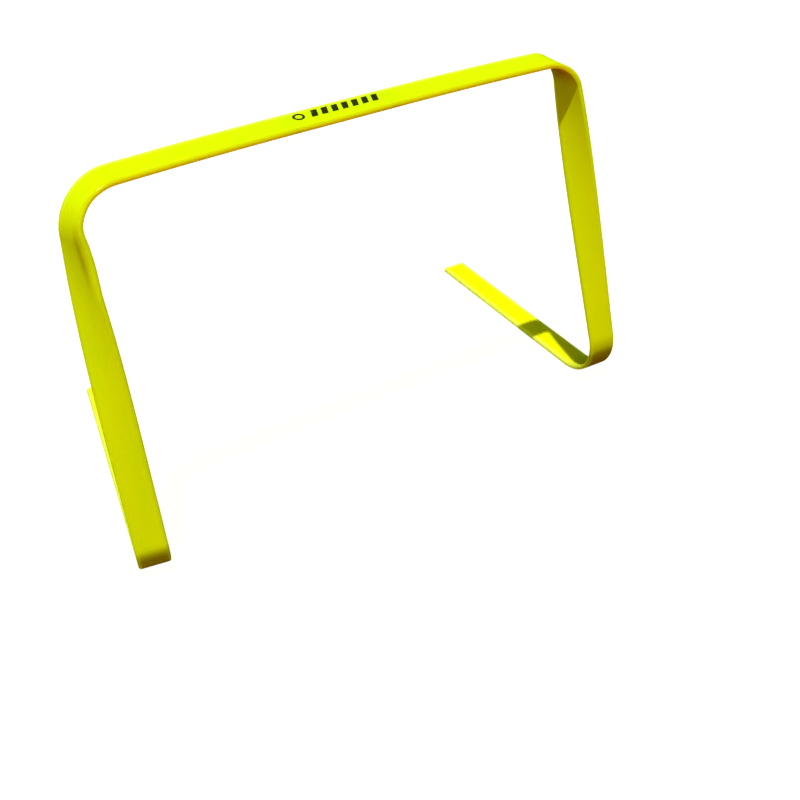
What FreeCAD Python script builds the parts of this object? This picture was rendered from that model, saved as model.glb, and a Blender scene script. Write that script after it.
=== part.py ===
"""Agility hurdle bent from one flat plastic strap.

The strap runs from a foot, round an ankle bend, up a leg that twists about its own length, round a
shoulder bend, along the crossbar and down the other side. Each section of the strap is one solid, and
neighbouring sections meet face to face. A thin ink print lies on the crossbar's flat middle section.

Millimetres, +Z up. +X runs along the crossbar, and the feet lie on the floor, pointing towards +Y.
The origin is on the floor, at the middle of the hurdle's bounding box.
"""
import FreeCAD, Part
import math
import os

# The strap's cross-section.
BAND_WIDTH = 25.0
BAND_THICKNESS = 4.0
EDGE_RADIUS = 1.8

# The hurdle. Its corners are where the centrelines of the runs would meet if the bends were sharp.
# The crossbar is gently arched. Its middle is flat, and beyond that it curves down, to a slope of
# BAR_END_SLOPE degrees where the shoulder bends start.
HEIGHT = 306.0
CORNER_SPAN = 406.0
BAR_TILT = 7.0
BAR_FLAT = 80.0
BAR_END_SLOPE = 1.7
FOOT_CORNER_RADIUS = 2.5

# The strap is bent by hand, so the two sides differ a little. Angles are in degrees.
# splay: how far the leg leans outwards on its way down. rake: how far it leans forwards.
# toe_in: how far the foot turns in towards the middle.
# The twist starts and ends at these shares of the way from the crossbar's end to the foot, along the
# shoulder bend, leg and ankle bend. With a twist_bias under 1 most of it is in the upper part of the leg.
SIDES = {
    "left": {
        "outward": -1,
        "splay": 0.9,
        "rake": 9.3,
        "toe_in": 10.6,
        "shoulder_radius": 35.5,
        "ankle_radius": 24.5,
        "foot_length": 277.5,
        "twist_start": 0.06,
        "twist_end": 0.81,
        "twist_bias": 0.61,
    },
    "right": {
        "outward": 1,
        "splay": 6.2,
        "rake": 9.1,
        "toe_in": -2.5,
        "shoulder_radius": 27.0,
        "ankle_radius": 44.0,
        "foot_length": 267.0,
        "twist_start": 0.0,
        "twist_end": 1.0,
        "twist_bias": 0.53,
    },
}

# The ink print on the crossbar's upper face: a ring, then a row of slanted bars. Its depth is its size
# across the strap, and its setback is how far it lies behind the strap's middle line.
PRINT_THICKNESS = 0.1
PRINT_DEPTH = 9.0
PRINT_SETBACK = 3.0
PRINT_GAP = 4.0
RING_BREADTH = 1.8
SLANTED_BARS = 7
SLANTED_BAR_BREADTH = 4.8
SLANTED_BAR_PITCH = 8.2
SLANTED_BAR_LEAN = 3.0

# How many cross-sections each arched end of the crossbar, each bend and each twisted leg is drawn through.
BAR_STATIONS = 5
BEND_STATIONS = 9
LEG_STATIONS = 13

# A leg's sections, from the shoulder down, are of equal length.
LEG_SECTIONS = ("upper_leg", "middle_leg", "lower_leg")


def unit(vector):
    """The vector at length 1."""
    return vector * (1.0 / vector.Length)


def smooth_step(share):
    """0 before 0, 1 after 1, and an even ramp with no corners between them."""
    held = min(1.0, max(0.0, share))
    return held * held * (3.0 - 2.0 * held)


def corner_turn(arriving, leaving, radius):
    """The angle between two directions, and how far before their corner an arc of that radius starts."""
    turn = arriving.getAngle(leaving)
    return turn, radius * math.tan(turn / 2)


def corners(side):
    """Directions and corners of one side's centreline.

    They are the direction at the crossbar's end, the leg's and the foot's, then the shoulder, the ankle and
    the foot's end.
    """
    outward = side["outward"]
    slope = math.radians(BAR_END_SLOPE)
    toe_in = math.radians(side["toe_in"])
    splay = outward * math.tan(math.radians(side["splay"]))
    rake = -math.tan(math.radians(side["rake"]))
    at_bar_end = FreeCAD.Vector(outward * math.cos(slope), 0, -math.sin(slope))
    down_leg = FreeCAD.Vector(splay, rake, -1)
    along_foot = FreeCAD.Vector(-outward * math.sin(toe_in), math.cos(toe_in), 0)
    _, reach = corner_turn(at_bar_end, down_leg, side["shoulder_radius"])
    arched = (CORNER_SPAN - BAR_FLAT) / 2 - reach * math.cos(slope)
    fall = arched * math.tan(slope / 2) + reach * math.sin(slope)
    shoulder = FreeCAD.Vector(outward * CORNER_SPAN / 2, 0, HEIGHT - BAND_THICKNESS / 2 - fall)
    ankle = shoulder + down_leg * (shoulder.z - BAND_THICKNESS / 2)
    foot_end = ankle + along_foot * side["foot_length"]
    return (at_bar_end, unit(down_leg), along_foot), (shoulder, ankle, foot_end)


def bend(arriving, corner, leaving, radius):
    """Points and directions along the arc that rounds one corner of the centreline, and the arc's length."""
    turn, reach = corner_turn(arriving, leaving, radius)
    inward = unit(leaving - arriving * arriving.dot(leaving))
    centre = corner - arriving * reach + inward * radius
    line = []
    for i in range(BEND_STATIONS):
        angle = turn * i / (BEND_STATIONS - 1)
        point = centre + (arriving * math.sin(angle) - inward * math.cos(angle)) * radius
        line.append((point, arriving * math.cos(angle) + inward * math.sin(angle)))
    return line, radius * turn


def bar_arch(end):
    """Points and directions along one arched end of the crossbar, from the flat middle outwards."""
    top = HEIGHT - BAND_THICKNESS / 2
    outward = math.copysign(1.0, end.x)
    radius = (abs(end.x) - BAR_FLAT / 2) / math.sin(math.radians(BAR_END_SLOPE))
    line = []
    for i in range(BAR_STATIONS):
        angle = math.radians(BAR_END_SLOPE) * i / (BAR_STATIONS - 1)
        reached = BAR_FLAT / 2 + radius * math.sin(angle)
        fall = radius * (1.0 - math.cos(angle))
        direction = FreeCAD.Vector(outward * math.cos(angle), 0, -math.sin(angle))
        line.append((FreeCAD.Vector(outward * reached, 0, top - fall), direction))
    return line


def straight(start, end, stations):
    """Points and directions along a straight run, with both ends."""
    direction = unit(end - start)
    return [(start + (end - start) * (i / (stations - 1)), direction) for i in range(stations)]


def width_direction(side, share):
    """Direction across the strap, at a share of the way down: front to back above, side to side below."""
    passed = (share - side["twist_start"]) / (side["twist_end"] - side["twist_start"])
    turned = smooth_step(max(0.0, passed) ** side["twist_bias"])
    at_bar = 90.0
    at_foot = 180.0 + side["outward"] * side["toe_in"]
    heading = math.radians(at_bar + (at_foot - at_bar) * turned)
    tilt = math.radians(BAR_TILT) * (1.0 - turned)
    return FreeCAD.Vector(
        math.cos(heading) * math.cos(tilt),
        math.sin(heading) * math.cos(tilt),
        math.sin(tilt),
    )


def local_frame(point, direction, width):
    """A placement with its X across the strap, its Y out of the strap's face and its Z along the strap."""
    across = unit(width - direction * width.dot(direction))
    out = direction.cross(across)
    turned = FreeCAD.Rotation(across, out, direction, "ZXY")
    return FreeCAD.Placement(point, turned)


def outline(width, depth, radius):
    """A closed rectangle with rounded corners, in the XY plane and centred on the origin."""
    x = width / 2 - radius
    y = depth / 2 - radius
    ring = [FreeCAD.Vector(px, py, 0) for px, py in ((-x, -y), (x, -y), (x, y), (-x, y), (-x, -y))]
    return Part.makePolygon(ring).makeOffset2D(radius)


def cross_section(point, direction, width):
    """The strap's outline, square to its centreline at one point."""
    section = outline(BAND_WIDTH, BAND_THICKNESS, EDGE_RADIUS)
    section.Placement = local_frame(point, direction, width)
    return section


def twisted_run(line, side, first_share, last_share):
    """The strap along a bend or a leg, turning about its own length as it goes."""
    steps = len(line) - 1
    sections = []
    for i, (point, direction) in enumerate(line):
        share = first_share + (last_share - first_share) * i / steps
        sections.append(cross_section(point, direction, width_direction(side, share)))
    return Part.makeLoft(sections, True)


def flat_run(start, end, width):
    """The strap along a straight run with no twist."""
    return Part.Face(cross_section(start, unit(end - start), width)).extrude(end - start)


def foot(start, end, width):
    """The strap along the floor. Its free end is cut square, with the corners rounded off."""
    run = end - start
    beyond = start - unit(run) * BAND_WIDTH
    plan = outline(BAND_WIDTH, (end - beyond).Length, FOOT_CORNER_RADIUS)
    plan.Placement = local_frame((beyond + end) / 2, FreeCAD.Vector(0, 0, 1), width)
    cutter = Part.Face(plan).extrude(FreeCAD.Vector(0, 0, BAND_THICKNESS))
    cutter.translate(FreeCAD.Vector(0, 0, -BAND_THICKNESS / 2))
    return flat_run(start, end, width).common(cutter).Solids[0]


def side_sections(name, side):
    """The sections of the strap on one side, from the crossbar's flat middle to the foot's end."""
    (at_bar_end, down_leg, along_foot), (shoulder, ankle, foot_end) = corners(side)
    shoulder_line, shoulder_length = bend(at_bar_end, shoulder, down_leg, side["shoulder_radius"])
    ankle_line, ankle_length = bend(down_leg, ankle, along_foot, side["ankle_radius"])
    leg_line = straight(shoulder_line[-1][0], ankle_line[0][0], LEG_STATIONS)
    leg_length = (leg_line[-1][0] - leg_line[0][0]).Length
    way_down = shoulder_length + leg_length + ankle_length
    leg_starts = shoulder_length / way_down
    leg_ends = 1.0 - ankle_length / way_down
    sections = {
        f"{name}_crossbar": twisted_run(bar_arch(shoulder_line[0][0]), side, 0.0, 0.0),
        f"{name}_shoulder_bend": twisted_run(shoulder_line, side, 0.0, leg_starts),
        f"{name}_ankle_bend": twisted_run(ankle_line, side, leg_ends, 1.0),
        f"{name}_foot": foot(ankle_line[-1][0], foot_end, width_direction(side, 1.0)),
    }
    steps = (LEG_STATIONS - 1) // len(LEG_SECTIONS)
    section_share = (leg_ends - leg_starts) / len(LEG_SECTIONS)
    for i, section in enumerate(LEG_SECTIONS):
        rows = leg_line[i * steps : (i + 1) * steps + 1]
        starts = leg_starts + section_share * i
        sections[f"{name}_{section}"] = twisted_run(rows, side, starts, starts + section_share)
    return sections


def print_plan():
    """The ink's faces in the XY plane, centred on the origin: X along the crossbar, Y to its rear."""
    bar_run = SLANTED_BAR_PITCH * (SLANTED_BARS - 1) + SLANTED_BAR_BREADTH + SLANTED_BAR_LEAN
    left = -(PRINT_DEPTH + PRINT_GAP + bar_run) / 2
    half = PRINT_DEPTH / 2
    ring_centre = FreeCAD.Vector(left + half, 0, 0)
    outer = Part.Face(Part.Wire(Part.makeCircle(half, ring_centre)))
    faces = [outer.cut(Part.Face(Part.Wire(Part.makeCircle(half - RING_BREADTH, ring_centre))))]
    first = left + PRINT_DEPTH + PRINT_GAP
    for i in range(SLANTED_BARS):
        foot_x = first + i * SLANTED_BAR_PITCH
        head_x = foot_x + SLANTED_BAR_LEAN
        ring = [
            FreeCAD.Vector(foot_x, -half, 0),
            FreeCAD.Vector(foot_x + SLANTED_BAR_BREADTH, -half, 0),
            FreeCAD.Vector(head_x + SLANTED_BAR_BREADTH, half, 0),
            FreeCAD.Vector(head_x, half, 0),
        ]
        faces.append(Part.Face(Part.makePolygon(ring + ring[:1])))
    return Part.makeCompound(faces)


def printed_mark(width):
    """The ink as thin solids on the upper face of the crossbar's flat middle."""
    along = FreeCAD.Vector(1, 0, 0)
    up = along.cross(width)
    middle = FreeCAD.Vector(0, 0, HEIGHT - BAND_THICKNESS / 2)
    film = print_plan().extrude(FreeCAD.Vector(0, 0, PRINT_THICKNESS))
    place = middle + up * (BAND_THICKNESS / 2) + width * PRINT_SETBACK
    film.Placement = FreeCAD.Placement(place, FreeCAD.Rotation(along, width, up, "ZXY"))
    return Part.makeCompound(film.Solids)


def build():
    """Every node's shape, with the floor at Z 0 and the bounding box centred on the origin."""
    nodes = {}
    for name, side in SIDES.items():
        nodes.update(side_sections(name, side))
    bar_width = width_direction(SIDES["left"], 0.0)
    half_flat = FreeCAD.Vector(BAR_FLAT / 2, 0, 0)
    middle = FreeCAD.Vector(0, 0, HEIGHT - BAND_THICKNESS / 2)
    nodes["middle_crossbar"] = flat_run(middle - half_flat, middle + half_flat, bar_width)
    nodes["printed_mark"] = printed_mark(bar_width)
    box = Part.makeCompound(list(nodes.values())).BoundBox
    to_origin = FreeCAD.Vector(-box.Center.x, -box.Center.y, -box.ZMin)
    for shape in nodes.values():
        shape.translate(to_origin)
    return nodes


os.makedirs("parts", exist_ok=True)
for node, shape in build().items():
    shape.exportStep(f"parts/{node}.step")
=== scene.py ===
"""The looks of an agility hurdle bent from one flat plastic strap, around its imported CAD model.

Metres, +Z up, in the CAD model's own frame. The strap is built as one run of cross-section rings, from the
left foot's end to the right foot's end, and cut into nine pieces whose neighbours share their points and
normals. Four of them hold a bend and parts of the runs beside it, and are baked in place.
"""
import math

import bpy
import numpy as np
from mathutils import Matrix, Vector


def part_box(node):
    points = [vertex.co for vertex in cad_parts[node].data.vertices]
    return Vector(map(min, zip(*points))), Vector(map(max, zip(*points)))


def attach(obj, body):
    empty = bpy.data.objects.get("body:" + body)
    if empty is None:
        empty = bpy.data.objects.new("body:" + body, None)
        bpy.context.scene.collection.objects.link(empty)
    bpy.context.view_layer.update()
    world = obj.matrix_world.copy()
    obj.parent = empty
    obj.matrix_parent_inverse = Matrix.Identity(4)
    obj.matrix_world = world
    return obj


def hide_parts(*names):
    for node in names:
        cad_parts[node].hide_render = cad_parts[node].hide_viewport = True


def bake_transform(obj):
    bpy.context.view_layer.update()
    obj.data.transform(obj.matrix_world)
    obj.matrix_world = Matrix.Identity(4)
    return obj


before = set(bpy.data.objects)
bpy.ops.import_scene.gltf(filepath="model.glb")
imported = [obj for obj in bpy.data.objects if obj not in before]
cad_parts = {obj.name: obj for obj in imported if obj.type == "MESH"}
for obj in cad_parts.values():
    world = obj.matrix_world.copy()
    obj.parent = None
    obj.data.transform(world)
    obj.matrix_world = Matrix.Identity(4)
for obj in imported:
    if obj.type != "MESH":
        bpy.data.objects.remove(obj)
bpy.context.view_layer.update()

MM = 0.001

# The strap's cross-section and the sides' bends are the CAD design's own numbers.
BAND_WIDTH = 25.0 * MM
BAND_THICKNESS = 4.0 * MM
EDGE_RADIUS = 1.8 * MM
HEIGHT = 306.0 * MM
CORNER_SPAN = 406.0 * MM
BAR_TILT = 7.0
BAR_FLAT = 80.0 * MM
BAR_END_SLOPE = 1.7
FOOT_CORNER_RADIUS = 2.5 * MM
SIDES = {
    "left": {
        "outward": -1,
        "splay": 0.9,
        "rake": 9.3,
        "toe_in": 10.6,
        "shoulder_radius": 35.5 * MM,
        "ankle_radius": 24.5 * MM,
        "foot_length": 277.5 * MM,
        "twist": (0.06, 0.81, 0.61),
    },
    "right": {
        "outward": 1,
        "splay": 6.2,
        "rake": 9.1,
        "toe_in": -2.5,
        "shoulder_radius": 27.0 * MM,
        "ankle_radius": 44.0 * MM,
        "foot_length": 267.0 * MM,
        "twist": (0.0, 1.0, 0.53),
    },
}

# The mesh: how far apart the rings are, and how many points each part of a ring has.
BEND_STEP = 1.0 * MM
LEG_STEP = 2.5 * MM
STRAIGHT_STEP = 6.0 * MM
FLAT_POINTS = 13
CORNER_POINTS = 5
END_BEVEL = 0.45 * MM
END_STEPS = 6
PLACE_DIGITS = 7
ROUND_OFF = 0.01 * MM

# The columns of a row: a point on the strap's line, the direction that the strap runs in there, the
# direction across it, and last the strengths of the looks.
POINT, ALONG, ACROSS, LOOKS = slice(0, 3), slice(3, 6), slice(6, 9), slice(9, 14)

# A piece with a bend takes in the runs beside it, up to this far along the foot.
FLEXED_FOOT = 60.0 * MM

# The painted pale sheen along the rims of the parts that lie flat: a painted highlight. Each section's rim
# fades from one strength to another. Along the crossbar and the shoulder bends only the rear edge has one.
SHEEN_RIM_BREADTH = 5.0 * MM
SHEEN_RIMS = {
    "left_foot": (1.0, 1.0),
    "left_ankle_bend": (1.0, 0.0),
    "left_leg": (0.0, 0.0),
    "left_shoulder_bend": (0.0, 1.0),
    "crossbar": (1.0, 1.0),
    "right_shoulder_bend": (1.0, 0.0),
    "right_leg": (0.0, 0.0),
    "right_ankle_bend": (0.0, 1.0),
    "right_foot": (1.0, 1.0),
}

# How far the colour is shifted from green at 0 to full yellow at 1, at each section's first and last row:
# greener on the crossbar, yellower towards the feet.
PAINTED_TONES = {
    "left_foot": (1.0, 1.0),
    "left_ankle_bend": (1.0, 0.5),
    "left_leg": (0.5, 0.5),
    "left_shoulder_bend": (0.5, 0.0),
    "crossbar": (0.0, 0.0),
    "right_shoulder_bend": (0.0, 0.5),
    "right_leg": (0.5, 0.5),
    "right_ankle_bend": (0.5, 1.0),
    "right_foot": (1.0, 1.0),
}

# How orange the light through the front edge and its painted glow are, at each section's first and last
# row. Elsewhere the light through the strap's edges and their painted glow are yellow.
EDGE_GLOWS = {
    "left_shoulder_bend": (0.0, 1.0),
    "crossbar": (1.0, 1.0),
    "right_shoulder_bend": (1.0, 0.0),
}

# The buckle at the left shoulder, where the twist is tightest: near one edge the strap's face steps back.
# Its top and foot are distances down the strap from where the shoulder bend meets the
# leg. The places of the step and of the painted shade in its crease are across the strap, from its middle.
BUCKLE_TOP = -14.0 * MM
BUCKLE_FADE_IN = 18.0 * MM
BUCKLE_FOOT = 44.0 * MM
BUCKLE_FADE_OUT = 32.0 * MM
BUCKLE_PLACE = -6.0 * MM
BUCKLE_BREADTH = 5.0 * MM
BUCKLE_DEPTH = 2.2 * MM
CREASE_SHADE_PLACE = -7.0 * MM
CREASE_SHADE_BREADTH = 3.5 * MM
CREASE_SHADE_STRENGTH = 0.65

# Painted shade: a dark band painted round the front of each ankle, between its foot's height and its top's.
ANKLE_SHADE_TOPS = {"left": 34.0 * MM, "right": 42.0 * MM}
ANKLE_SHADE_STRENGTH = 0.70
ANKLE_SHADE_FADE_IN = 12.0 * MM
ANKLE_SHADE_FOOT = 1.0 * MM
ANKLE_SHADE_FADE_OUT = 20.0 * MM

# The CAD sections that each piece stands for, where it isn't the one of the same name.
CAD_SECTIONS = {"crossbar": ["middle_crossbar"]}
for side_name in SIDES:
    CAD_SECTIONS[f"{side_name}_leg"] = [f"{side_name}_middle_leg"]
    CAD_SECTIONS[f"{side_name}_ankle_bend"] = [f"{side_name}_lower_leg", f"{side_name}_ankle_bend"]
    CAD_SECTIONS[f"{side_name}_shoulder_bend"] = [
        f"{side_name}_crossbar",
        f"{side_name}_shoulder_bend",
        f"{side_name}_upper_leg",
    ]

# The camera aims at a point on the floor. Its lens and sensor are in millimetres.
CAMERA_AIM = (46.28 * MM, -44.77 * MM, 0.0)
CAMERA_AZIMUTH = -31.03
CAMERA_ELEVATION = 35.79
CAMERA_ROLL = -2.45
CAMERA_DISTANCE = 1005.0 * MM
CAMERA_LENS = 49.18
CAMERA_SENSOR = 36.0

# Colours are linear.
WHITE = (1.0, 1.0, 1.0, 1.0)
STRAP_GREENER = (0.55, 0.82, 0.001, 1.0)
STRAP_YELLOWER = (0.73, 0.83, 0.001, 1.0)
# The next colour is the pale of the painted sheen along the rims, a painted highlight, and of the
# scratches.
STRAP_SHEEN_AND_SCRATCH = (0.80, 1.0, 0.40, 1.0)
# The next colour is painted shade, for the buckle's crease and the front of the ankles.
STRAP_SHADED = (0.13, 0.11, 0.001, 1.0)
STRAP_SPECK = (0.20, 0.22, 0.01, 1.0)
FACE_TINT = (1.0, 1.0, 0.0, 1.0)

# The rounded edges are smoother than the faces, let more light through and carry a faint painted glow. That
# look starts at one place across the strap, measured from its middle, and is full at the other.
EDGE_FROM = BAND_WIDTH / 2 - 1.6 * EDGE_RADIUS
EDGE_FULL = BAND_WIDTH / 2 - 0.8 * EDGE_RADIUS
EDGE_ROUGHNESS = 0.14
FACE_THROUGH = (1.0, 0.38, 0.003, 1.0)
EDGE_THROUGH = (0.90, 1.0, 0.003, 1.0)
EDGE_LIT = (0.90, 0.60, 0.003, 1.0)
# The next value is the strength of a painted glow, an emission on the rounded edges.
EDGE_PAINTED_GLOW = 0.085
FACE_TRANSLUCENCE = 0.30
EDGE_TRANSLUCENCE = 0.60

# The plastic's noise: features per metre along, across and out of the strap, then detail and roughness.
PLASTIC_NOISE = {
    "clouds": ((14.0, 40.0, 200.0), 2.0, 0.5),
    "draw lines": ((3.0, 1400.0, 1400.0), 2.0, 0.5),
    "waviness": ((45.0, 120.0, 300.0), 1.0, 0.5),
    "grain": ((2600.0, 2600.0, 2600.0), 2.0, 0.5),
    "patches": ((38.0, 90.0, 300.0), 4.0, 0.6),
    "hairlines": ((60.0, 1900.0, 900.0), 4.0, 0.7),
    "specks": ((620.0, 620.0, 620.0), 1.0, 0.5),
}

# How far each kind of mark stands out of the surface.
PLASTIC_RELIEF = {
    "waviness": 0.12 * MM,
    "draw lines": 0.012 * MM,
    "grain": 0.006 * MM,
    "scratches": -0.008 * MM,
}

# A range is the low and the high end of a value, then what they turn into, which is 0 and 1 unless given.
# A share is how much of its own colour a mark puts over the plastic's.
CLOUD_RANGE = (0.3, 0.7, -0.2, 0.2)
SCUFF_RANGE = (0.50, 0.80)
SCRATCH_RANGE = (0.56, 0.70)
SPECK_RANGE = (0.80, 0.83)
SHEEN_PATCH_RANGE = (0.25, 0.60, 0.45, 1.0)
ROUGHNESS_RANGE = (0.3, 1.2, 0.24, 0.50)
SCUFF_ROUGHENING = 0.5
SHADED_SHARE = 0.85
SCRATCHED_SHARE = 0.15
SPECK_SHARE = 0.7

INK_DARKER = (0.004, 0.004, 0.004, 1.0)
INK_PALER = (0.016, 0.017, 0.008, 1.0)
INK_PINHOLE = (0.25, 0.28, 0.004, 1.0)
INK_PATCHES = ((260.0, 260.0, 260.0), 3.0)
INK_PATCH_RANGE = (0.3, 0.7)
INK_ROUGHNESS_RANGE = (0.3, 0.7, 0.42, 0.6)
INK_PINHOLES = ((2300.0, 2300.0, 2300.0), 2.0)
INK_PINHOLE_RANGE = (0.69, 0.73)
INK_UNEVENNESS = 0.02 * MM
INK_PINHOLE_DEPTH = 0.05 * MM

FLOOR_BOUNCE = (0.06, 0.015, 0.001, 1.0)
FLOOR_SHOWN = (0.88, 0.88, 0.88, 1.0)
FLOOR_GLOW = 0.8
FLOOR_RADIUS = 6.0
FLOOR_SIDES = 96
FLOOR_DROP = 0.1 * MM
KEY_STRENGTH = 4.1
KEY_COLOUR = (1.0, 0.98, 0.60)
KEY_SOFTNESS = 1.0
KEY_DIRECTION = (0.19, 0.22, -1.0)
FILL_STRENGTH = 1.2
FILL_COLOUR = (1.0, 0.80, 0.1)
FILL_SOFTNESS = 40.0
FILL_DIRECTION = (0.3, 0.9, -0.4)
ZENITH_COLOUR = (0.20, 0.33, 0.06, 1.0)
HORIZON_COLOUR = (0.20, 0.15, 0.02, 1.0)
SKY_RANGE = (0.1, 0.8)

# Where a colour mix node keeps its share, its two colours and its result.
MIX_INPUTS = (0, 6, 7)
MIX_OUTPUT = 2


def unit(vector):
    """The vector, or each row of an array of vectors, at length 1."""
    vector = np.asarray(vector, float)
    return vector / np.linalg.norm(vector, axis=-1, keepdims=True)


def smooth_step(share):
    """0 before 0, 1 after 1, and an even ramp with no corners between them."""
    held = np.clip(share, 0.0, 1.0)
    return held * held * (3.0 - 2.0 * held)


# ---- The strap's line. Each row of a run is a point, then the direction that the strap runs in there.

def side_corners(side):
    """The directions of the crossbar's end, the leg and the foot, then shoulder, ankle and foot end.

    The shoulder and the ankle are where the runs' centrelines would meet if the bends were sharp.
    """
    outward = side["outward"]
    slope = math.radians(BAR_END_SLOPE)
    splay = outward * math.tan(math.radians(side["splay"]))
    rake = -math.tan(math.radians(side["rake"]))
    toe_in = math.radians(side["toe_in"])
    at_bar_end = np.array([outward * math.cos(slope), 0.0, -math.sin(slope)])
    down_leg = np.array([splay, rake, -1.0])
    along_foot = np.array([-outward * math.sin(toe_in), math.cos(toe_in), 0.0])
    turn = math.acos(float(at_bar_end @ unit(down_leg)))
    reach = side["shoulder_radius"] * math.tan(turn / 2)
    arched = (CORNER_SPAN - BAR_FLAT) / 2 - reach * math.cos(slope)
    fall = arched * math.tan(slope / 2) + reach * math.sin(slope)
    shoulder = np.array([outward * CORNER_SPAN / 2, 0.0, HEIGHT - BAND_THICKNESS / 2 - fall])
    ankle = shoulder + down_leg * (shoulder[2] - BAND_THICKNESS / 2)
    foot_end = ankle + along_foot * side["foot_length"]
    return (at_bar_end, unit(down_leg), along_foot), (shoulder, ankle, foot_end)


def bend_run(arriving, corner, leaving, radius):
    """The strap's line round one corner."""
    turn = math.acos(float(arriving @ leaving))
    inward = unit(leaving - arriving * (arriving @ leaving))
    centre = corner - arriving * (radius * math.tan(turn / 2)) + inward * radius
    angle = np.linspace(0.0, turn, round(radius * turn / BEND_STEP) + 1)[:, None]
    points = centre + (arriving * np.sin(angle) - inward * np.cos(angle)) * radius
    return np.hstack([points, arriving * np.cos(angle) + inward * np.sin(angle)])


def arch_run(end):
    """The line of one arched end of the crossbar, from the flat middle outwards."""
    slope = math.radians(BAR_END_SLOPE)
    outward = math.copysign(1.0, end[0])
    radius = (abs(end[0]) - BAR_FLAT / 2) / math.sin(slope)
    angle = np.linspace(0.0, slope, round(radius * slope / LEG_STEP) + 1)
    level = np.zeros_like(angle)
    reached = outward * (BAR_FLAT / 2 + radius * np.sin(angle))
    heights = HEIGHT - BAND_THICKNESS / 2 - radius * (1.0 - np.cos(angle))
    return np.stack([reached, level, heights, outward * np.cos(angle), level, -np.sin(angle)], axis=1)


def straight_run(start, end, step):
    """The strap's line from one point to another."""
    share = np.linspace(0.0, 1.0, round(float(np.linalg.norm(end - start)) / step) + 1)[:, None]
    points = start + (end - start) * share
    return np.hstack([points, np.broadcast_to(unit(end - start), points.shape)])


def travelled(points):
    """Distance along the line from its first point to each point."""
    return np.concatenate([[0.0], np.cumsum(np.linalg.norm(np.diff(points, axis=0), axis=1))])


def width_directions(side, share):
    """Directions across the strap, at shares of the way from the crossbar's end to the foot."""
    start, end, bias = side["twist"]
    turned = smooth_step(np.clip((share - start) / (end - start), 0.0, None) ** bias)
    at_foot = 180.0 + side["outward"] * side["toe_in"]
    heading = np.radians(90.0 + (at_foot - 90.0) * turned)
    tilt = math.radians(BAR_TILT) * (1.0 - turned)
    level = np.cos(tilt)
    return np.stack([np.cos(heading) * level, np.sin(heading) * level, np.sin(tilt)], axis=1)


def side_runs(side):
    """One side's arched end of the crossbar, shoulder bend, leg, ankle bend and foot.

    Each is a run with the directions across the strap.
    """
    (at_bar_end, down_leg, along_foot), (shoulder, ankle, foot_end) = side_corners(side)
    shoulder_bend = bend_run(at_bar_end, shoulder, down_leg, side["shoulder_radius"])
    ankle_bend = bend_run(down_leg, ankle, along_foot, side["ankle_radius"])
    leg = straight_run(shoulder_bend[-1, POINT], ankle_bend[0, POINT], LEG_STEP)
    foot = straight_run(ankle_bend[-1, POINT], foot_end, LEG_STEP)
    arch = arch_run(shoulder_bend[0, POINT])
    twisting = (shoulder_bend, leg, ankle_bend)
    lengths = [travelled(run[:, POINT]) for run in twisting]
    way_down = sum(length[-1] for length in lengths)
    at_bar = np.broadcast_to(width_directions(side, np.array([0.0])), (len(arch), 3))
    runs = [np.hstack([arch, at_bar])]
    passed = 0.0
    for run, length in zip(twisting, lengths):
        runs.append(np.hstack([run, width_directions(side, (passed + length) / way_down)]))
        passed += length[-1]
    at_foot = np.broadcast_to(width_directions(side, np.array([1.0])), (len(foot), 3))
    return runs + [np.hstack([foot, at_foot])]


def turned_back(rows):
    """A run in the opposite direction."""
    turned = rows[::-1].copy()
    turned[:, ALONG] *= -1.0
    return turned


def strap_sections():
    """Every section of the strap in order, from the left foot's end to the right foot's end.

    A section is its name and its rows of point, direction and width direction. Neighbours share a row.
    """
    sections = {}
    left = [turned_back(run) for run in side_runs(SIDES["left"])]
    right = side_runs(SIDES["right"])
    for name, run in zip(("foot", "ankle_bend", "leg", "shoulder_bend"), reversed(left)):
        sections[f"left_{name}"] = run
    left_arch, right_arch = left[0], right[0]
    flat = straight_run(left_arch[-1, POINT], right_arch[0, POINT], STRAIGHT_STEP)
    flat = np.hstack([flat, np.broadcast_to(right_arch[0, ACROSS], (len(flat), 3))])
    sections["crossbar"] = joined(left_arch, flat, right_arch)
    for name, run in zip(("shoulder_bend", "leg", "ankle_bend", "foot"), right[1:]):
        sections[f"right_{name}"] = run
    return sections


def joined(*runs):
    """Runs that share their end rows, as one run."""
    return np.vstack([run[:-1] for run in runs[:-1]] + [runs[-1]])


def faded(ends, along):
    """A value that changes smoothly from a section's first row to its last."""
    first, last = ends
    return first + (last - first) * smooth_step(along / along[-1])


def buckle_strength(name, along):
    """How deep the buckle at the left shoulder is, from 0 to 1, along a section."""
    if name == "left_leg":
        below = along[-1] - along
    elif name == "left_shoulder_bend":
        below = -along
    else:
        return np.zeros_like(along)
    fade_in = smooth_step((below - BUCKLE_TOP) / BUCKLE_FADE_IN)
    return fade_in * smooth_step((BUCKLE_FOOT - below) / BUCKLE_FADE_OUT)


def with_looks(name, rows):
    """A section's rows with the looks' columns: the painted sheen at the rear and front rims, the painted
    tone, the edge glow's orange share and the buckle.
    """
    length = travelled(rows[:, POINT])
    rear_sheen = faded(SHEEN_RIMS[name], length)
    rear_only = name == "crossbar" or name.endswith("shoulder_bend")
    front_sheen = np.zeros_like(rear_sheen) if rear_only else rear_sheen
    painted_tone = faded(PAINTED_TONES[name], length)
    glow = faded(EDGE_GLOWS.get(name, (0.0, 0.0)), length)
    looks = np.stack([rear_sheen, front_sheen, painted_tone, glow, buckle_strength(name, length)], axis=1)
    return np.hstack([rows, looks])


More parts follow.
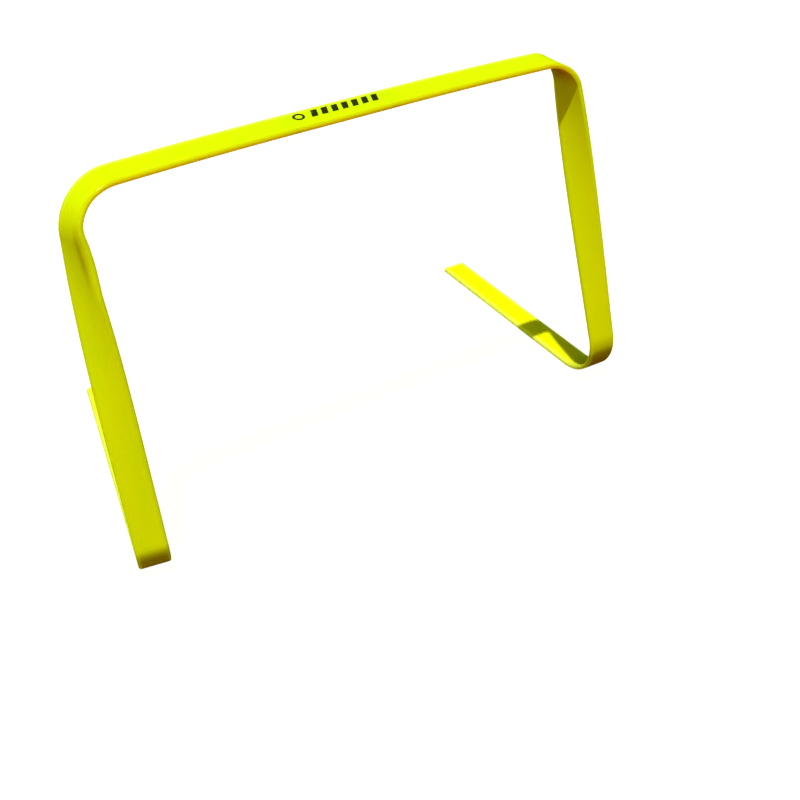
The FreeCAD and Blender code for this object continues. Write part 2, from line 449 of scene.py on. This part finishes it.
def strap_pieces(sections):
    """The strap's rows in nine pieces. Each piece with a bend takes in part of the runs at its ends."""
    rows = {name: with_looks(name, section) for name, section in sections.items()}
    bar = rows["crossbar"]
    first, last = np.flatnonzero(np.abs(bar[:, 0]) < BAR_FLAT / 2 + ROUND_OFF)[[0, -1]]
    left_foot, right_foot = rows["left_foot"], rows["right_foot"]
    left_leg, right_leg = rows["left_leg"], rows["right_leg"]
    flexed = round(FLEXED_FOOT / LEG_STEP)
    heel = len(left_foot) - 1 - flexed
    low, high = round(len(left_leg) / 3), round(len(left_leg) * 2 / 3)
    top, bottom = round(len(right_leg) / 3), round(len(right_leg) * 2 / 3)
    return {
        "left_foot": left_foot[: heel + 1],
        "left_ankle_bend": joined(left_foot[heel:], rows["left_ankle_bend"], left_leg[: low + 1]),
        "left_leg": left_leg[low : high + 1],
        "left_shoulder_bend": joined(left_leg[high:], rows["left_shoulder_bend"], bar[: first + 1]),
        "crossbar": bar[first : last + 1],
        "right_shoulder_bend": joined(bar[last:], rows["right_shoulder_bend"], right_leg[: top + 1]),
        "right_leg": right_leg[top : bottom + 1],
        "right_ankle_bend": joined(
            right_leg[bottom:], rows["right_ankle_bend"], right_foot[: flexed + 1]
        ),
        "right_foot": right_foot[flexed:],
    }


# ---- The strap's surface

def half_profile():
    """Half of the cross-section, as (across, out) points from one edge over the upper face to the other."""
    flat = BAND_WIDTH / 2 - EDGE_RADIUS
    side = BAND_THICKNESS / 2 - EDGE_RADIUS
    angle = np.linspace(0.0, math.pi / 2, CORNER_POINTS)
    corner = np.stack([-flat - EDGE_RADIUS * np.cos(angle), side + EDGE_RADIUS * np.sin(angle)], axis=1)
    face = np.linspace(-flat, flat, FLAT_POINTS)[1:-1]
    upper = np.stack([face, np.full_like(face, BAND_THICKNESS / 2)], axis=1)
    return np.vstack([corner, upper, corner[::-1] * (-1.0, 1.0)])


def rounding(distance, radius):
    """How far a rounded corner draws a side in, at a distance from the end that it rounds."""
    inside = np.clip(radius - distance, 0.0, radius)
    return radius - np.sqrt(radius * radius - inside * inside)


def with_rounded_end(rows):
    """A foot's rows with closer ones added at its free end, which is the last row."""
    angle = np.linspace(0.0, math.pi / 2, END_STEPS)
    shares = 1.0 - np.sin(angle)
    steps = np.concatenate([FOOT_CORNER_RADIUS * shares, END_BEVEL * shares])
    distances = np.unique(np.round(steps, PLACE_DIGITS))[::-1]
    closer = np.repeat(rows[-1:], len(distances), axis=0)
    closer[:, POINT] -= rows[-1, ALONG] * distances[:, None]
    return np.vstack([rows[:-1], closer])


def tube_faces(rings, count):
    """The faces of a closed tube of rings with this many points each: its skin, then a cap at each end."""
    places = np.arange(rings * count).reshape(rings, count)
    after = np.roll(places, -1, axis=1)
    skin = np.stack([places[:-1], places[1:], after[1:], after[:-1]], axis=-1).reshape(-1, 4)
    strip = np.arange(count // 2 - 1)
    cap = np.stack([strip, strip + 1, count - 2 - strip, count - 1 - strip], axis=-1)
    return np.vstack([skin, places[0][cap], places[-1][cap][:, ::-1]])


def painted_sheen_rim(rear, front, across, to_end):
    """How strong the painted pale sheen is, near the strap's edges and its free ends."""
    at_rear = rear * (1.0 - smooth_step((BAND_WIDTH / 2 - across) / SHEEN_RIM_BREADTH))
    at_front = front * (1.0 - smooth_step((BAND_WIDTH / 2 + across) / SHEEN_RIM_BREADTH))
    at_end = rear * (1.0 - smooth_step(to_end / SHEEN_RIM_BREADTH))
    return np.maximum(np.maximum(at_rear, at_front), at_end)


def ankle_painted_shade(side_name, height, facing_front):
    """How strong the painted shade round the front of an ankle is."""
    below_top = smooth_step((ANKLE_SHADE_TOPS[side_name] - height) / ANKLE_SHADE_FADE_IN)
    above_foot = smooth_step((height - ANKLE_SHADE_FOOT) / ANKLE_SHADE_FADE_OUT)
    return ANKLE_SHADE_STRENGTH * facing_front * below_top * above_foot


def filled_mesh(name, places, strap, layers):
    """A closed mesh over rings of points, with sharp end caps and the layers that its material reads."""
    faces = tube_faces(*places.shape[:2])
    mesh = bpy.data.meshes.new(name)
    mesh.from_pydata(places.reshape(-1, 3).tolist(), [], faces.tolist())
    strap = strap.astype(np.float32).ravel()
    mesh.attributes.new("strap", "FLOAT_VECTOR", "POINT").data.foreach_set("vector", strap)
    for layer, values in layers.items():
        values = values.astype(np.float32).ravel()
        mesh.attributes.new(layer, "FLOAT", "POINT").data.foreach_set("value", values)
    mesh.polygons.foreach_set("use_smooth", np.ones(len(faces), dtype=bool))
    on_cap = np.zeros(places.shape[:2], dtype=bool)
    on_cap[[0, -1]] = True
    on_cap = on_cap.ravel()
    sharp = [all(on_cap[place] for place in edge.vertices) for edge in mesh.edges]
    mesh.attributes.new("sharp_edge", "BOOLEAN", "EDGE").data.foreach_set("value", sharp)
    return mesh


def strap_mesh(name, rows, first_length, free_end):
    """One piece of the strap as a closed mesh, and its length.

    first_length is the length of strap before it, and free_end says which of its end rows is a cut end.
    """
    if free_end == "first":
        rows = turned_back(with_rounded_end(turned_back(rows)))
    elif free_end == "last":
        rows = with_rounded_end(rows)
    points, along, width = rows[:, POINT], rows[:, ALONG], rows[:, ACROSS]
    rear_sheen, front_sheen, painted_tone, glow, buckle = rows[:, LOOKS].T[..., None]
    across = unit(width - along * np.sum(width * along, axis=1, keepdims=True))
    out = np.cross(along, across)
    length = travelled(points)
    to_end = {"first": length, "last": length[-1] - length}.get(free_end, np.full_like(length, math.inf))
    bevel = rounding(to_end, END_BEVEL)
    plan = rounding(to_end, FOOT_CORNER_RADIUS)

    upper = half_profile()
    ring = np.vstack([upper, upper[::-1] * (1.0, -1.0)])
    sideways = ring[None, :, 0] * (1.0 - (plan + bevel) / (BAND_WIDTH / 2))[:, None]
    outwards = ring[None, :, 1] * (1.0 - bevel / (BAND_THICKNESS / 2))[:, None]
    bent_back = -BUCKLE_DEPTH * buckle * smooth_step((BUCKLE_PLACE - sideways) / BUCKLE_BREADTH)
    risen = (outwards + bent_back)[..., None]
    places = points[:, None] + across[:, None] * sideways[..., None] + out[:, None] * risen

    # Painted shade: the buckle's crease and the front of each ankle are painted darker, where shade falls.
    crease_shade_mask = 1.0 - smooth_step(np.abs(sideways - CREASE_SHADE_PLACE) / CREASE_SHADE_BREADTH)
    painted_shade = CREASE_SHADE_STRENGTH * buckle * crease_shade_mask * (outwards > 0.0)
    if name.endswith("ankle_bend"):
        facing_front = out[:, None, 1] * np.sign(outwards) < 0.0
        painted_shade = painted_shade + ankle_painted_shade(name.split("_")[0], places[..., 2], facing_front)
    # The layers: a painted pale sheen along the rims, the painted shade, the painted colour shift towards
    # the feet, and the orange share of the edges' light and glow.
    layers = {
        "painted_sheen": painted_sheen_rim(rear_sheen, front_sheen, ring[None, :, 0], to_end[:, None]),
        "painted_shade": painted_shade,
        "painted_tone": np.broadcast_to(painted_tone, sideways.shape),
        "edge_glow": glow * (ring[None, :, 0] < 0.0),
    }
    lengths = np.broadcast_to((first_length + length)[:, None], sideways.shape)
    strap = np.stack([lengths, sideways, outwards], axis=-1)
    return filled_mesh(f"strap_{name}", places, strap, layers), length[-1]


def to_cad_frame(bar):
    """The step that takes the strap's line from the crossbar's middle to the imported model's origin."""
    low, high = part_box("middle_crossbar")
    middle = bar[len(bar) // 2]
    width = unit(middle[ACROSS])
    out = np.cross(middle[ALONG], width)
    half_across = BAND_WIDTH / 2 - EDGE_RADIUS
    half_out = BAND_THICKNESS / 2 - EDGE_RADIUS
    reach = abs(width[1]) * half_across + abs(out[1]) * half_out + EDGE_RADIUS
    return np.array([(low[0] + high[0]) / 2, low[1] + reach - middle[1], 0.0])


def build_strap(material):
    """The nine pieces of the strap, in the CAD frame, with the straight ones bound to the CAD bodies."""
    sections = strap_sections()
    shift = to_cad_frame(sections["crossbar"])
    first_length = 0.0
    for name, rows in strap_pieces(sections).items():
        placed = rows.copy()
        placed[:, POINT] += shift
        free_end = {"left_foot": "first", "right_foot": "last"}.get(name)
        mesh, length = strap_mesh(name, placed, first_length, free_end)
        first_length += length
        piece = bpy.data.objects.new(f"strap_{name}", mesh)
        bpy.context.scene.collection.objects.link(piece)
        mesh.materials.append(material)
        bind(piece, name)
        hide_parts(*CAD_SECTIONS.get(name, [name]))


def bind(piece, name):
    """A straight piece rides on its body, and a piece with a bend is baked in place."""
    if not name.endswith("bend"):
        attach(piece, name)
        return
    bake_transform(piece)


# ---- Materials

def feed(tree, socket, value):
    """Sets an input, or links it where the value is another node's output."""
    if isinstance(value, bpy.types.NodeSocket):
        tree.links.new(value, socket)
    else:
        socket.default_value = value


def add_node(tree, kind, **inputs):
    """A shader node with its inputs set or linked by name. An underscore stands for a space."""
    node = tree.nodes.new(kind)
    for name, value in inputs.items():
        feed(tree, node.inputs[name.replace("_", " ")], value)
    return node


def shader(tree, kind, **inputs):
    """A shader node's first output, with its inputs set or linked by name."""
    return add_node(tree, kind, **inputs).outputs[0]


def mixed(tree, share, first, second):
    """One shader turning to another."""
    node = tree.nodes.new("ShaderNodeMixShader")
    for socket, value in zip(node.inputs, (share, first, second)):
        feed(tree, socket, value)
    return node.outputs[0]


def new_material(name):
    """An empty node material, its tree and its output."""
    material = bpy.data.materials.new(name)
    material.use_nodes = True
    material.node_tree.nodes.clear()
    return material, material.node_tree, material.node_tree.nodes.new("ShaderNodeOutputMaterial")


def attribute(tree, name, output="Fac"):
    """One of the mesh's own layers."""
    node = tree.nodes.new("ShaderNodeAttribute")
    node.attribute_name = name
    return node.outputs[output]


def noise(tree, place, fineness, detail, roughness=0.5):
    """Noise over a vector, with this many features per metre along each of its axes."""
    scaled = tree.nodes.new("ShaderNodeVectorMath")
    scaled.operation = "MULTIPLY"
    for socket, value in zip(scaled.inputs, (place, fineness)):
        feed(tree, socket, value)
    settings = {"Scale": 1.0, "Detail": detail, "Roughness": roughness}
    return add_node(tree, "ShaderNodeTexNoise", Vector=scaled.outputs[0], **settings).outputs["Fac"]


def ranged(tree, value, low, high, to_low=0.0, to_high=1.0):
    """The value carried from one range to another and held inside it."""
    ends = {"From_Min": low, "From_Max": high, "To_Min": to_low, "To_Max": to_high}
    return add_node(tree, "ShaderNodeMapRange", Value=value, **ends).outputs[0]


def maths(tree, operation, first, second):
    """One arithmetic step on two values."""
    node = tree.nodes.new("ShaderNodeMath")
    node.operation = operation
    for socket, value in zip(node.inputs, (first, second)):
        feed(tree, socket, value)
    return node.outputs[0]


def times(tree, first, second):
    """Two values multiplied."""
    return maths(tree, "MULTIPLY", first, second)


def blended(tree, share, first, second):
    """One colour turning to another."""
    node = tree.nodes.new("ShaderNodeMix")
    node.data_type = "RGBA"
    for index, value in zip(MIX_INPUTS, (share, first, second)):
        feed(tree, node.inputs[index], value)
    return node.outputs[MIX_OUTPUT]


def bumped(tree, heights):
    """A normal from several (height, depth in metres) layers."""
    normal = None
    for height, depth in heights:
        bump = add_node(tree, "ShaderNodeBump", Height=height, Strength=1.0, Distance=depth)
        if normal is not None:
            tree.links.new(normal, bump.inputs["Normal"])
        normal = bump.outputs["Normal"]
    return normal


def plastic_colour(tree, marks, painted_shade):
    """Yellow-green, uneven along the strap and painted yellower towards the feet, with painted shade, a
    painted pale sheen on the rims, scratches and specks.
    """
    sheen_rims, painted_tone = attribute(tree, "painted_sheen"), attribute(tree, "painted_tone")
    painted_sheen = times(tree, sheen_rims, ranged(tree, marks["patches"], *SHEEN_PATCH_RANGE))
    speck = ranged(tree, marks["specks"], *SPECK_RANGE)
    uneven = maths(tree, "ADD", painted_tone, ranged(tree, marks["clouds"], *CLOUD_RANGE))
    colour = blended(tree, uneven, STRAP_GREENER, STRAP_YELLOWER)
    # Painted shade first, then the painted pale sheen on the rims, then pale scratches and specks.
    colour = blended(tree, times(tree, painted_shade, SHADED_SHARE), colour, STRAP_SHADED)
    colour = blended(tree, painted_sheen, colour, STRAP_SHEEN_AND_SCRATCH)
    colour = blended(tree, times(tree, marks["scratches"], SCRATCHED_SHARE), colour, STRAP_SHEEN_AND_SCRATCH)
    return blended(tree, times(tree, speck, SPECK_SHARE), colour, STRAP_SPECK)


def strap_plastic():
    """Extruded yellow-green plastic: soft gloss, faint draw lines and scuffs, and clearer rounded edges
    with a faint painted glow.
    """
    material, tree, output = new_material("strap_plastic")
    strap = attribute(tree, "strap", "Vector")
    painted_shade = attribute(tree, "painted_shade")
    marks = {name: noise(tree, strap, *settings) for name, settings in PLASTIC_NOISE.items()}
    scuffed = ranged(tree, marks["patches"], *SCUFF_RANGE)
    marks["scratches"] = times(tree, scuffed, ranged(tree, marks["hairlines"], *SCRATCH_RANGE))
    from_middle = add_node(tree, "ShaderNodeSeparateXYZ", Vector=strap).outputs["Y"]
    edge = ranged(tree, maths(tree, "ABSOLUTE", from_middle, 0.0), EDGE_FROM, EDGE_FULL)

    colour = plastic_colour(tree, marks, painted_shade)
    dulled = maths(tree, "ADD", marks["clouds"], times(tree, scuffed, SCUFF_ROUGHENING))
    roughness = ranged(tree, dulled, *ROUGHNESS_RANGE)
    smoother = times(tree, edge, maths(tree, "SUBTRACT", roughness, EDGE_ROUGHNESS))
    normal = bumped(tree, [(marks[name], depth) for name, depth in PLASTIC_RELIEF.items()])
    surface = shader(
        tree,
        "ShaderNodeBsdfPrincipled",
        Base_Color=colour,
        Roughness=maths(tree, "SUBTRACT", roughness, smoother),
        Specular_Tint=blended(tree, edge, FACE_TINT, WHITE),
        Normal=normal,
    )

    edge_colour = blended(tree, attribute(tree, "edge_glow"), EDGE_THROUGH, EDGE_LIT)
    through_colour = blended(tree, edge, FACE_THROUGH, edge_colour)
    through = shader(tree, "ShaderNodeBsdfTranslucent", Color=through_colour, Normal=normal)
    extra = times(tree, edge, EDGE_TRANSLUCENCE - FACE_TRANSLUCENCE)
    body = mixed(tree, maths(tree, "ADD", extra, FACE_TRANSLUCENCE), surface, through)
    # Painted light: the rounded edges glow faintly, except where the painted shade lies.
    clean_edge = times(tree, edge, maths(tree, "SUBTRACT", 1.0, painted_shade))
    strength = times(tree, clean_edge, EDGE_PAINTED_GLOW)
    painted_glow = shader(tree, "ShaderNodeEmission", Color=edge_colour, Strength=strength)
    both = tree.nodes.new("ShaderNodeAddShader")
    for socket, value in zip(both.inputs, (body, painted_glow)):
        feed(tree, socket, value)
    tree.links.new(both.outputs[0], output.inputs["Surface"])
    material.cycles.emission_sampling = "NONE"
    return material


def print_ink():
    """Black print ink, a little uneven, with pinholes where the plastic shows through."""
    material, tree, output = new_material("print_ink")
    place = tree.nodes.new("ShaderNodeTexCoord").outputs["Object"]
    uneven = noise(tree, place, *INK_PATCHES)
    pinholes = ranged(tree, noise(tree, place, *INK_PINHOLES), *INK_PINHOLE_RANGE)
    colour = blended(tree, ranged(tree, uneven, *INK_PATCH_RANGE), INK_DARKER, INK_PALER)
    surface = shader(
        tree,
        "ShaderNodeBsdfPrincipled",
        Base_Color=blended(tree, pinholes, colour, INK_PINHOLE),
        Roughness=ranged(tree, uneven, *INK_ROUGHNESS_RANGE),
        Normal=bumped(tree, [(uneven, INK_UNEVENNESS), (pinholes, -INK_PINHOLE_DEPTH)]),
    )
    tree.links.new(surface, output.inputs["Surface"])
    return material


def studio_floor():
    """A pale floor. Its light on the hurdle is warm, and its own shadows look soft."""
    material, tree, output = new_material("studio_floor")
    seen = tree.nodes.new("ShaderNodeLightPath").outputs["Is Camera Ray"]
    matt = shader(tree, "ShaderNodeBsdfDiffuse", Color=FLOOR_BOUNCE)
    pale = shader(tree, "ShaderNodeBsdfDiffuse", Color=FLOOR_SHOWN)
    glow = shader(tree, "ShaderNodeEmission", Color=WHITE, Strength=1.0)
    shown = mixed(tree, FLOOR_GLOW, pale, glow)
    tree.links.new(mixed(tree, seen, matt, shown), output.inputs["Surface"])
    return material


# ---- The stage

def build_floor():
    """A wide round floor, a hair below the feet."""
    mesh = bpy.data.meshes.new("floor")
    turns = np.linspace(0.0, 2.0 * math.pi, FLOOR_SIDES, endpoint=False)
    outline = np.stack([np.cos(turns), np.sin(turns), np.zeros_like(turns)], axis=1) * FLOOR_RADIUS
    mesh.from_pydata(outline.tolist(), [], [list(range(FLOOR_SIDES))])
    floor = bpy.data.objects.new("floor", mesh)
    floor.location.z = -FLOOR_DROP
    bpy.context.scene.collection.objects.link(floor)
    mesh.materials.append(studio_floor())


def build_sun(name, strength, colour, softness, direction):
    """One distant light. softness is its breadth in degrees, and direction is the way its light goes."""
    lamp = bpy.data.lights.new(name, "SUN")
    lamp.energy = strength
    lamp.color = colour
    lamp.angle = math.radians(softness)
    sun = bpy.data.objects.new(name, lamp)
    sun.rotation_mode = "QUATERNION"
    sun.rotation_quaternion = Vector(direction).to_track_quat("-Z", "Y")
    bpy.context.scene.collection.objects.link(sun)


def build_lights():
    """A high key light from a little in front and to the left, and a low soft fill from the front."""
    build_sun("key", KEY_STRENGTH, KEY_COLOUR, KEY_SOFTNESS, KEY_DIRECTION)
    build_sun("fill", FILL_STRENGTH, FILL_COLOUR, FILL_SOFTNESS, FILL_DIRECTION)


def build_surround():
    """A dim sky, greener overhead, that lights the hurdle. The camera sees plain white in its place."""
    world = bpy.data.worlds.new("studio")
    bpy.context.scene.world = world
    world.use_nodes = True
    tree = world.node_tree
    tree.nodes.clear()
    seen = tree.nodes.new("ShaderNodeLightPath").outputs["Is Camera Ray"]
    direction = tree.nodes.new("ShaderNodeTexCoord").outputs["Generated"]
    height = add_node(tree, "ShaderNodeSeparateXYZ", Vector=direction).outputs["Z"]
    sky = blended(tree, ranged(tree, height, *SKY_RANGE), HORIZON_COLOUR, ZENITH_COLOUR)
    surround = shader(tree, "ShaderNodeBackground", Color=sky, Strength=1.0)
    backdrop = shader(tree, "ShaderNodeBackground", Color=WHITE, Strength=1.0)
    output = tree.nodes.new("ShaderNodeOutputWorld")
    tree.links.new(mixed(tree, seen, surround, backdrop), output.inputs["Surface"])


def build_camera():
    """A camera that looks down on the hurdle from its front left."""
    azimuth = math.radians(CAMERA_AZIMUTH)
    elevation = math.radians(CAMERA_ELEVATION)
    level = math.cos(elevation)
    back = Vector((math.sin(azimuth) * level, -math.cos(azimuth) * level, math.sin(elevation)))
    roll = Matrix.Rotation(math.radians(CAMERA_ROLL), 3, "Z").to_quaternion()
    lens = bpy.data.cameras.new("camera")
    lens.sensor_width = CAMERA_SENSOR
    lens.lens = CAMERA_LENS
    camera = bpy.data.objects.new("camera", lens)
    bpy.context.scene.collection.objects.link(camera)
    camera.rotation_mode = "QUATERNION"
    camera.rotation_quaternion = back.to_track_quat("Z", "Y") @ roll
    camera.location = Vector(CAMERA_AIM) + back * CAMERA_DISTANCE
    bpy.context.scene.camera = camera


build_camera()
build_lights()
build_surround()
build_floor()
build_strap(strap_plastic())
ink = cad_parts["printed_mark"]
ink.data.materials.clear()
ink.data.materials.append(print_ink())
bpy.context.scene.view_settings.view_transform = "Standard"
bpy.context.scene.view_settings.look = "Medium High Contrast"

bpy.context.view_layer.update()
